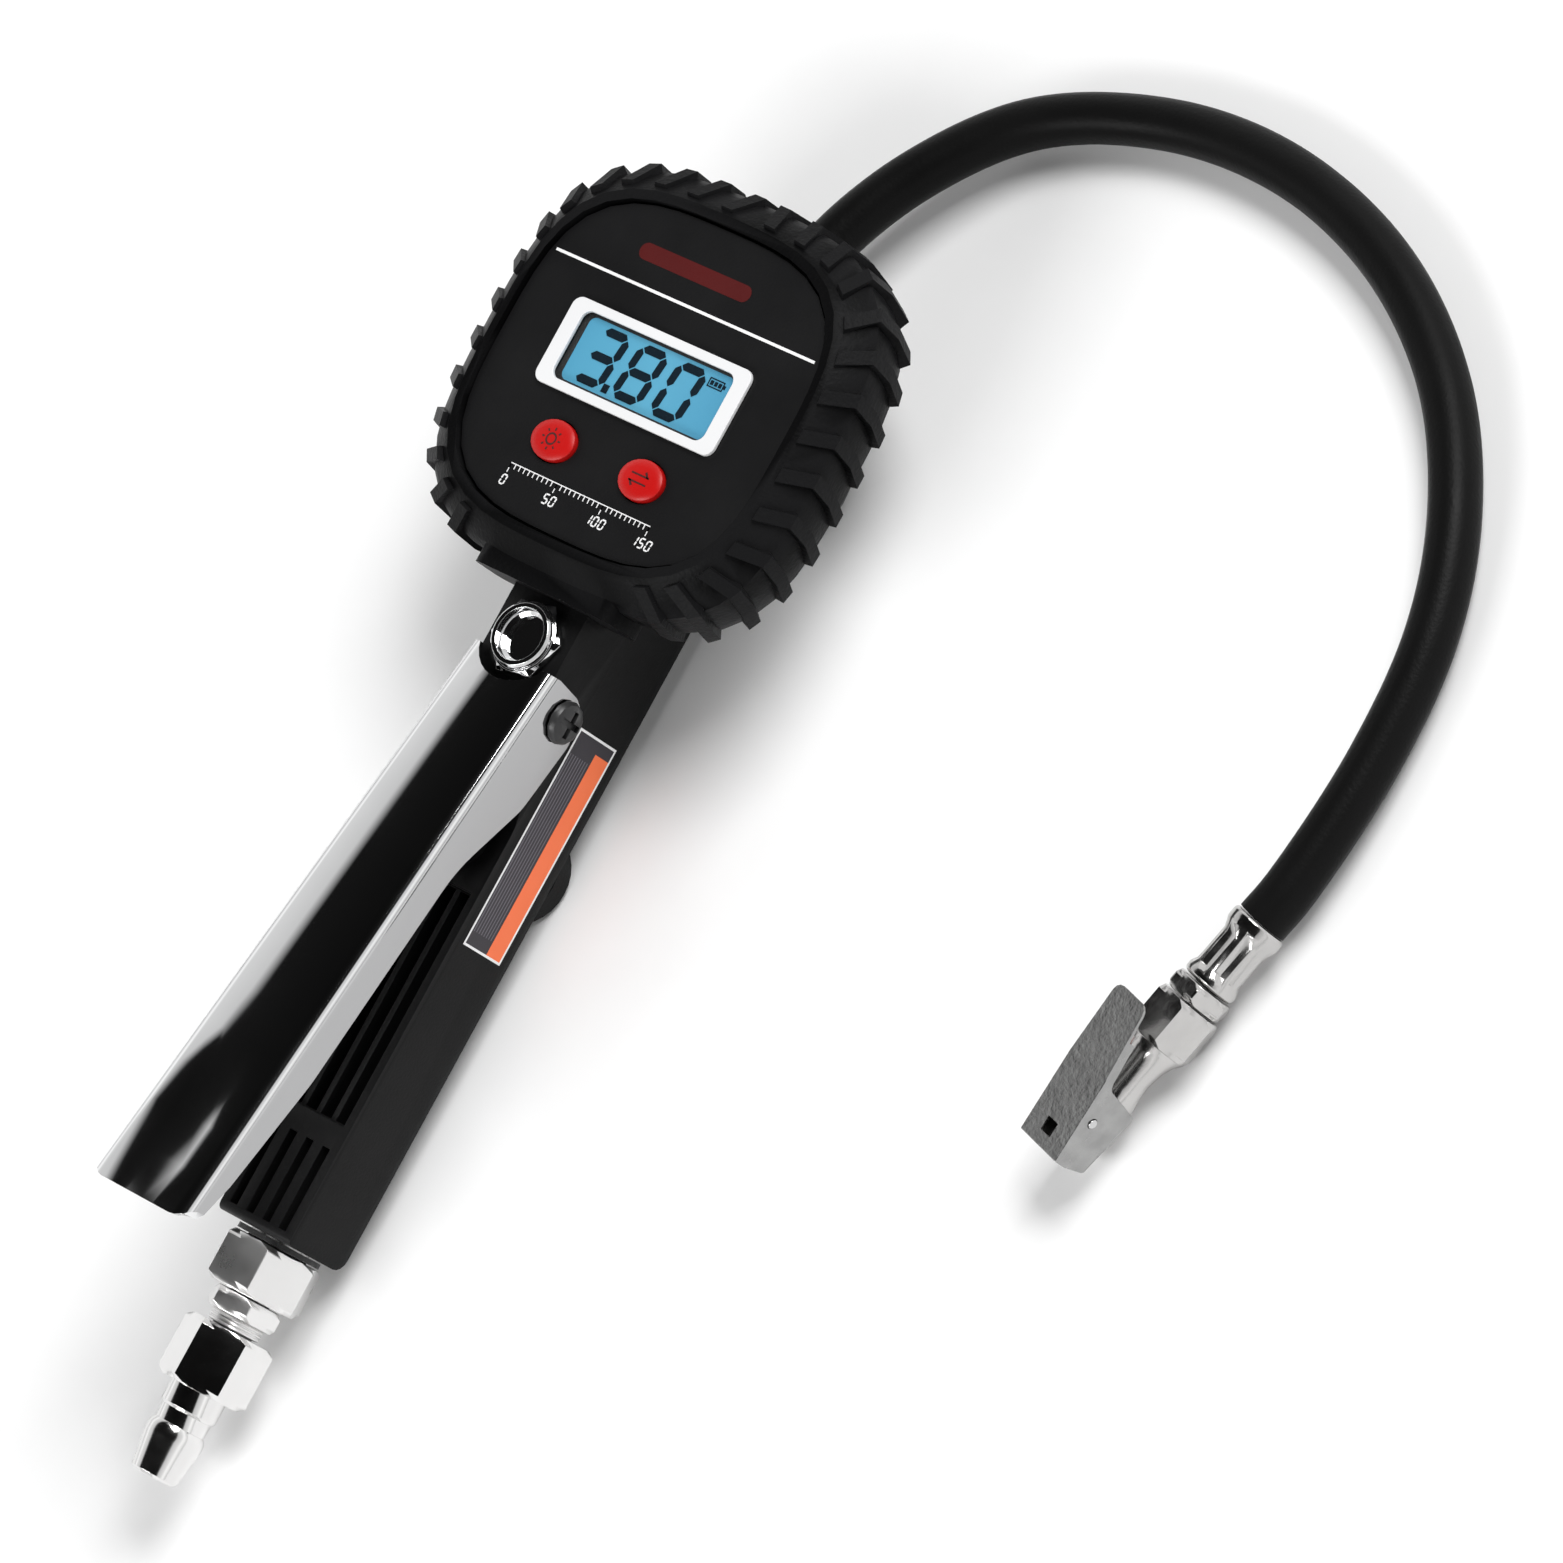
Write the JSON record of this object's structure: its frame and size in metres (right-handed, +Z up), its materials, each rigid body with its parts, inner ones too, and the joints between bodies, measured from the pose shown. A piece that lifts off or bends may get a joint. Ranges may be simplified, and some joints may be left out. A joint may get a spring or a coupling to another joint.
{
  "type": "tyre inflator with gauge",
  "caption": "Handheld tyre inflator: ribbed grip with a squeeze lever, digital gauge in a tread-lugged rubber boot, air inlet plug, and a hose with a clip-on chuck.",
  "frame": {"origin": "on the table under the middle of the tool, without the hose and chuck", "axes": "+Y along the handle from the air inlet to the gauge, +X to the right as the gauge is read, +Z up from the back to the gauge face and lever"},
  "size_m": [0.2195, 0.3361, 0.0632],
  "materials": {
    "grip_plastic": "satin",
    "gloss_plastic": "gloss",
    "boot_rubber": "matte",
    "seal_rubber": "matte",
    "hose_rubber": "satin",
    "chrome": "polished",
    "plated_metal": "bright plated",
    "zinc_grey": "satin",
    "steel": "bright",
    "spring_steel": "drawn wire",
    "brass": "machined",
    "black_steel": "blackened",
    "sintered_bronze": "porous",
    "face_print": "matte",
    "white_plastic": "satin",
    "clear_lens": "clear",
    "display_blue": "lit",
    "board_green": "solder mask",
    "red_plastic": "satin",
    "switch_black": "plain"
  },
  "bodies": {
    "tool": {"handle_body": "grip_plastic", "valve_rear_cap": "grip_plastic", "gauge_case": "grip_plastic", "case_back": "grip_plastic", "gauge_rear_cover": "gloss_plastic", "gauge_boot": "boot_rubber", "inlet_seal": "seal_rubber", "rear_cap_seal": "seal_rubber", "chuck_seal": "seal_rubber", "hose": "hose_rubber", "inlet_nut": "chrome", "inlet_nipple": "chrome", "quick_plug": "chrome", "vent_plug": "chrome", "hose_outlet": "plated_metal", "hose_collar": "plated_metal", "hose_ferrule": "plated_metal", "chuck_body": "plated_metal", "chuck_nut": "zinc_grey", "case_screw_1": "steel", "case_screw_2": "steel", "case_screw_3": "steel", "case_screw_4": "steel", "pressure_sensor": "steel", "coin_cell": "steel", "valve_depressor": "steel", "clip_pin": "steel", "valve_spring": "spring_steel", "clip_spring": "spring_steel", "stem_guide_bush": "brass", "pivot_screw": "black_steel", "pivot_nut": "black_steel", "inlet_filter": "sintered_bronze", "face_panel": "face_print", "lcd_frame": "white_plastic", "lcd_lens": "clear_lens", "lcd_module": "display_blue", "circuit_board": "board_green", "light_switch": "switch_black", "unit_switch": "switch_black"},
    "trigger": {"trigger_lever": "chrome"},
    "valve": {"valve_stem": "steel", "valve_seal": "seal_rubber"},
    "light": {"light_button": "red_plastic"},
    "unit": {"unit_button": "red_plastic"},
    "clip": {"chuck_clip": "zinc_grey"}
  },
  "joints": [
    {"name": "trigger_hinge", "type": "hinge", "parent": "tool", "child": "trigger", "pos_m": [0, 0.0299, 0.0308], "axis": [1, 0, 0], "range_deg": [0, 12], "stiffness_Nm_per_rad": 0.6, "springref_deg": -11.46},
    {"name": "valve_slide", "type": "slide", "parent": "tool", "child": "valve", "axis": [0, 0, -1], "range_m": [0, 0.0064], "stiffness_N_per_m": 200, "deforming": ["valve_spring"]},
    {"name": "light_press", "type": "slide", "parent": "tool", "child": "light", "axis": [0, 0, -1], "range_m": [0, 0.0008], "stiffness_N_per_m": 400},
    {"name": "unit_press", "type": "slide", "parent": "tool", "child": "unit", "axis": [0, 0, -1], "range_m": [0, 0.0008], "stiffness_N_per_m": 400},
    {"name": "clip_hinge", "type": "hinge", "parent": "tool", "child": "clip", "pos_m": [0.15051, 0.00799, 0.01458], "axis": [-0.9658, 0.2498, -0.0698], "range_deg": [0, 12], "stiffness_Nm_per_rad": 0.05, "springref_deg": -11.46}
  ],
  "couplings": [
    {"joint": "valve_slide", "follows": "trigger_hinge", "m_per_rad": 0.0295}
  ]
}
